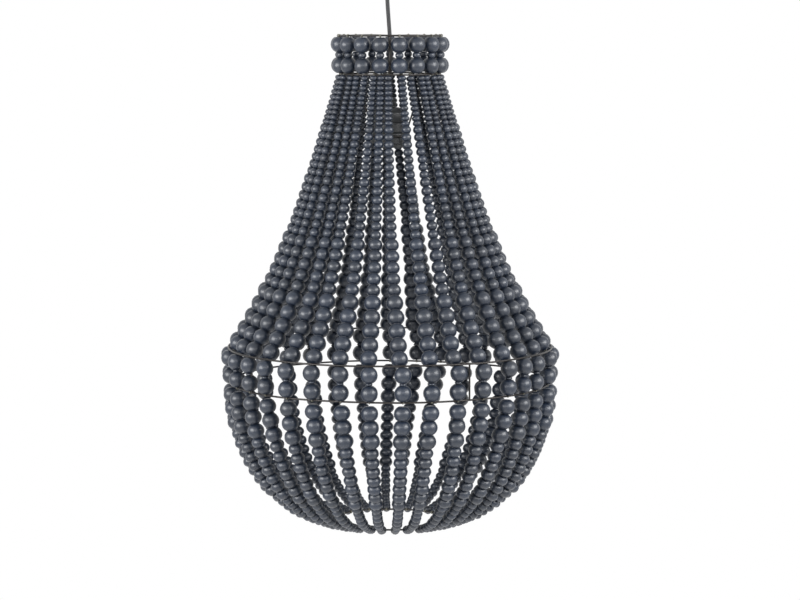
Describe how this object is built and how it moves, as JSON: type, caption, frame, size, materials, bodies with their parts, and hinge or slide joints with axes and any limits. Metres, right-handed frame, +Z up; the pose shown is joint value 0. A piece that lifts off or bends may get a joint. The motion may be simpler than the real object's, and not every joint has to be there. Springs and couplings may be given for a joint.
{
  "type": "beaded pendant chandelier",
  "caption": "Balloon-shaped pendant shade of black wooden bead strands on wire rings, over a lampholder on a short cord under a round ceiling cup.",
  "frame": {"origin": "middle of the bracket's top face, where it meets the ceiling", "axes": "+Z up along the lamp's axis; the front, which the picture sees, looks along -Y"},
  "size_m": [0.4132, 0.4124, 0.7193],
  "materials": {
    "wood_beads": "matt black paint on turned wood",
    "wire": "dark brown lacquered steel wire",
    "black_plastic": "matt black moulded plastic",
    "cord": "smooth dark grey sheath",
    "black_steel": "matt black powder coat",
    "zinc_steel": "zinc-plated steel",
    "brass": "plain brass",
    "terminal": "off-white insulating block"
  },
  "bodies": {
    "ceiling_rose": {"ceiling_bracket": "zinc_steel", "ceiling_cup": "black_steel", "cup_screw_1": "zinc_steel", "cup_screw_2": "zinc_steel", "cord_grip": "black_plastic", "grip_clamp_screw": "black_plastic", "grip_locknut": "zinc_steel", "terminal_block": "terminal", "cord_tail": "cord"},
    "hanging_cord": {"cord": "cord"},
    "lampholder": {"holder_cord_grip": "black_plastic", "holder_cap": "black_plastic", "holder_body": "black_plastic", "socket_shell": "brass", "centre_contact": "brass", "shade_ring": "black_plastic"},
    "shade": {"bead_strand_01": "wood_beads", "bead_strand_02": "wood_beads", "bead_strand_03": "wood_beads", "bead_strand_04": "wood_beads", "bead_strand_05": "wood_beads", "bead_strand_06": "wood_beads", "bead_strand_07": "wood_beads", "bead_strand_08": "wood_beads", "bead_strand_09": "wood_beads", "bead_strand_10": "wood_beads", "bead_strand_11": "wood_beads", "bead_strand_12": "wood_beads", "bead_strand_13": "wood_beads", "bead_strand_14": "wood_beads", "bead_strand_15": "wood_beads", "bead_strand_16": "wood_beads", "bead_strand_17": "wood_beads", "bead_strand_18": "wood_beads", "bead_strand_19": "wood_beads", "bead_strand_20": "wood_beads", "bead_strand_21": "wood_beads", "bead_strand_22": "wood_beads", "bead_strand_23": "wood_beads", "bead_strand_24": "wood_beads", "bead_strand_25": "wood_beads", "bead_strand_26": "wood_beads", "bead_strand_27": "wood_beads", "bead_strand_28": "wood_beads", "bead_strand_29": "wood_beads", "bead_strand_30": "wood_beads", "bead_strand_31": "wood_beads", "bead_strand_32": "wood_beads", "bead_strand_33": "wood_beads", "bead_strand_34": "wood_beads", "crown_top_ring": "wire", "crown_lower_ring": "wire", "belly_upper_ring": "wire", "belly_lower_ring": "wire", "bottom_ring": "wire", "belly_post_1": "wire", "belly_post_2": "wire", "belly_post_3": "wire", "belly_post_4": "wire", "shade_spider": "wire"}
  },
  "joints": [
    {"name": "cord_swing", "type": "hinge", "parent": "ceiling_rose", "child": "hanging_cord", "pos_m": [0, 0, -0.0393], "axis": [0, 1, 0], "range_deg": [-15, 15]},
    {"name": "lamp_tilt", "type": "hinge", "parent": "hanging_cord", "child": "lampholder", "pos_m": [0, 0, -0.2033], "axis": [1, 0, 0], "range_deg": [-10, 10]},
    {"name": "shade_turn", "type": "hinge", "parent": "lampholder", "child": "shade", "pos_m": [0, 0, -0.2452], "axis": [0, 0, 1], "continuous": true}
  ]
}
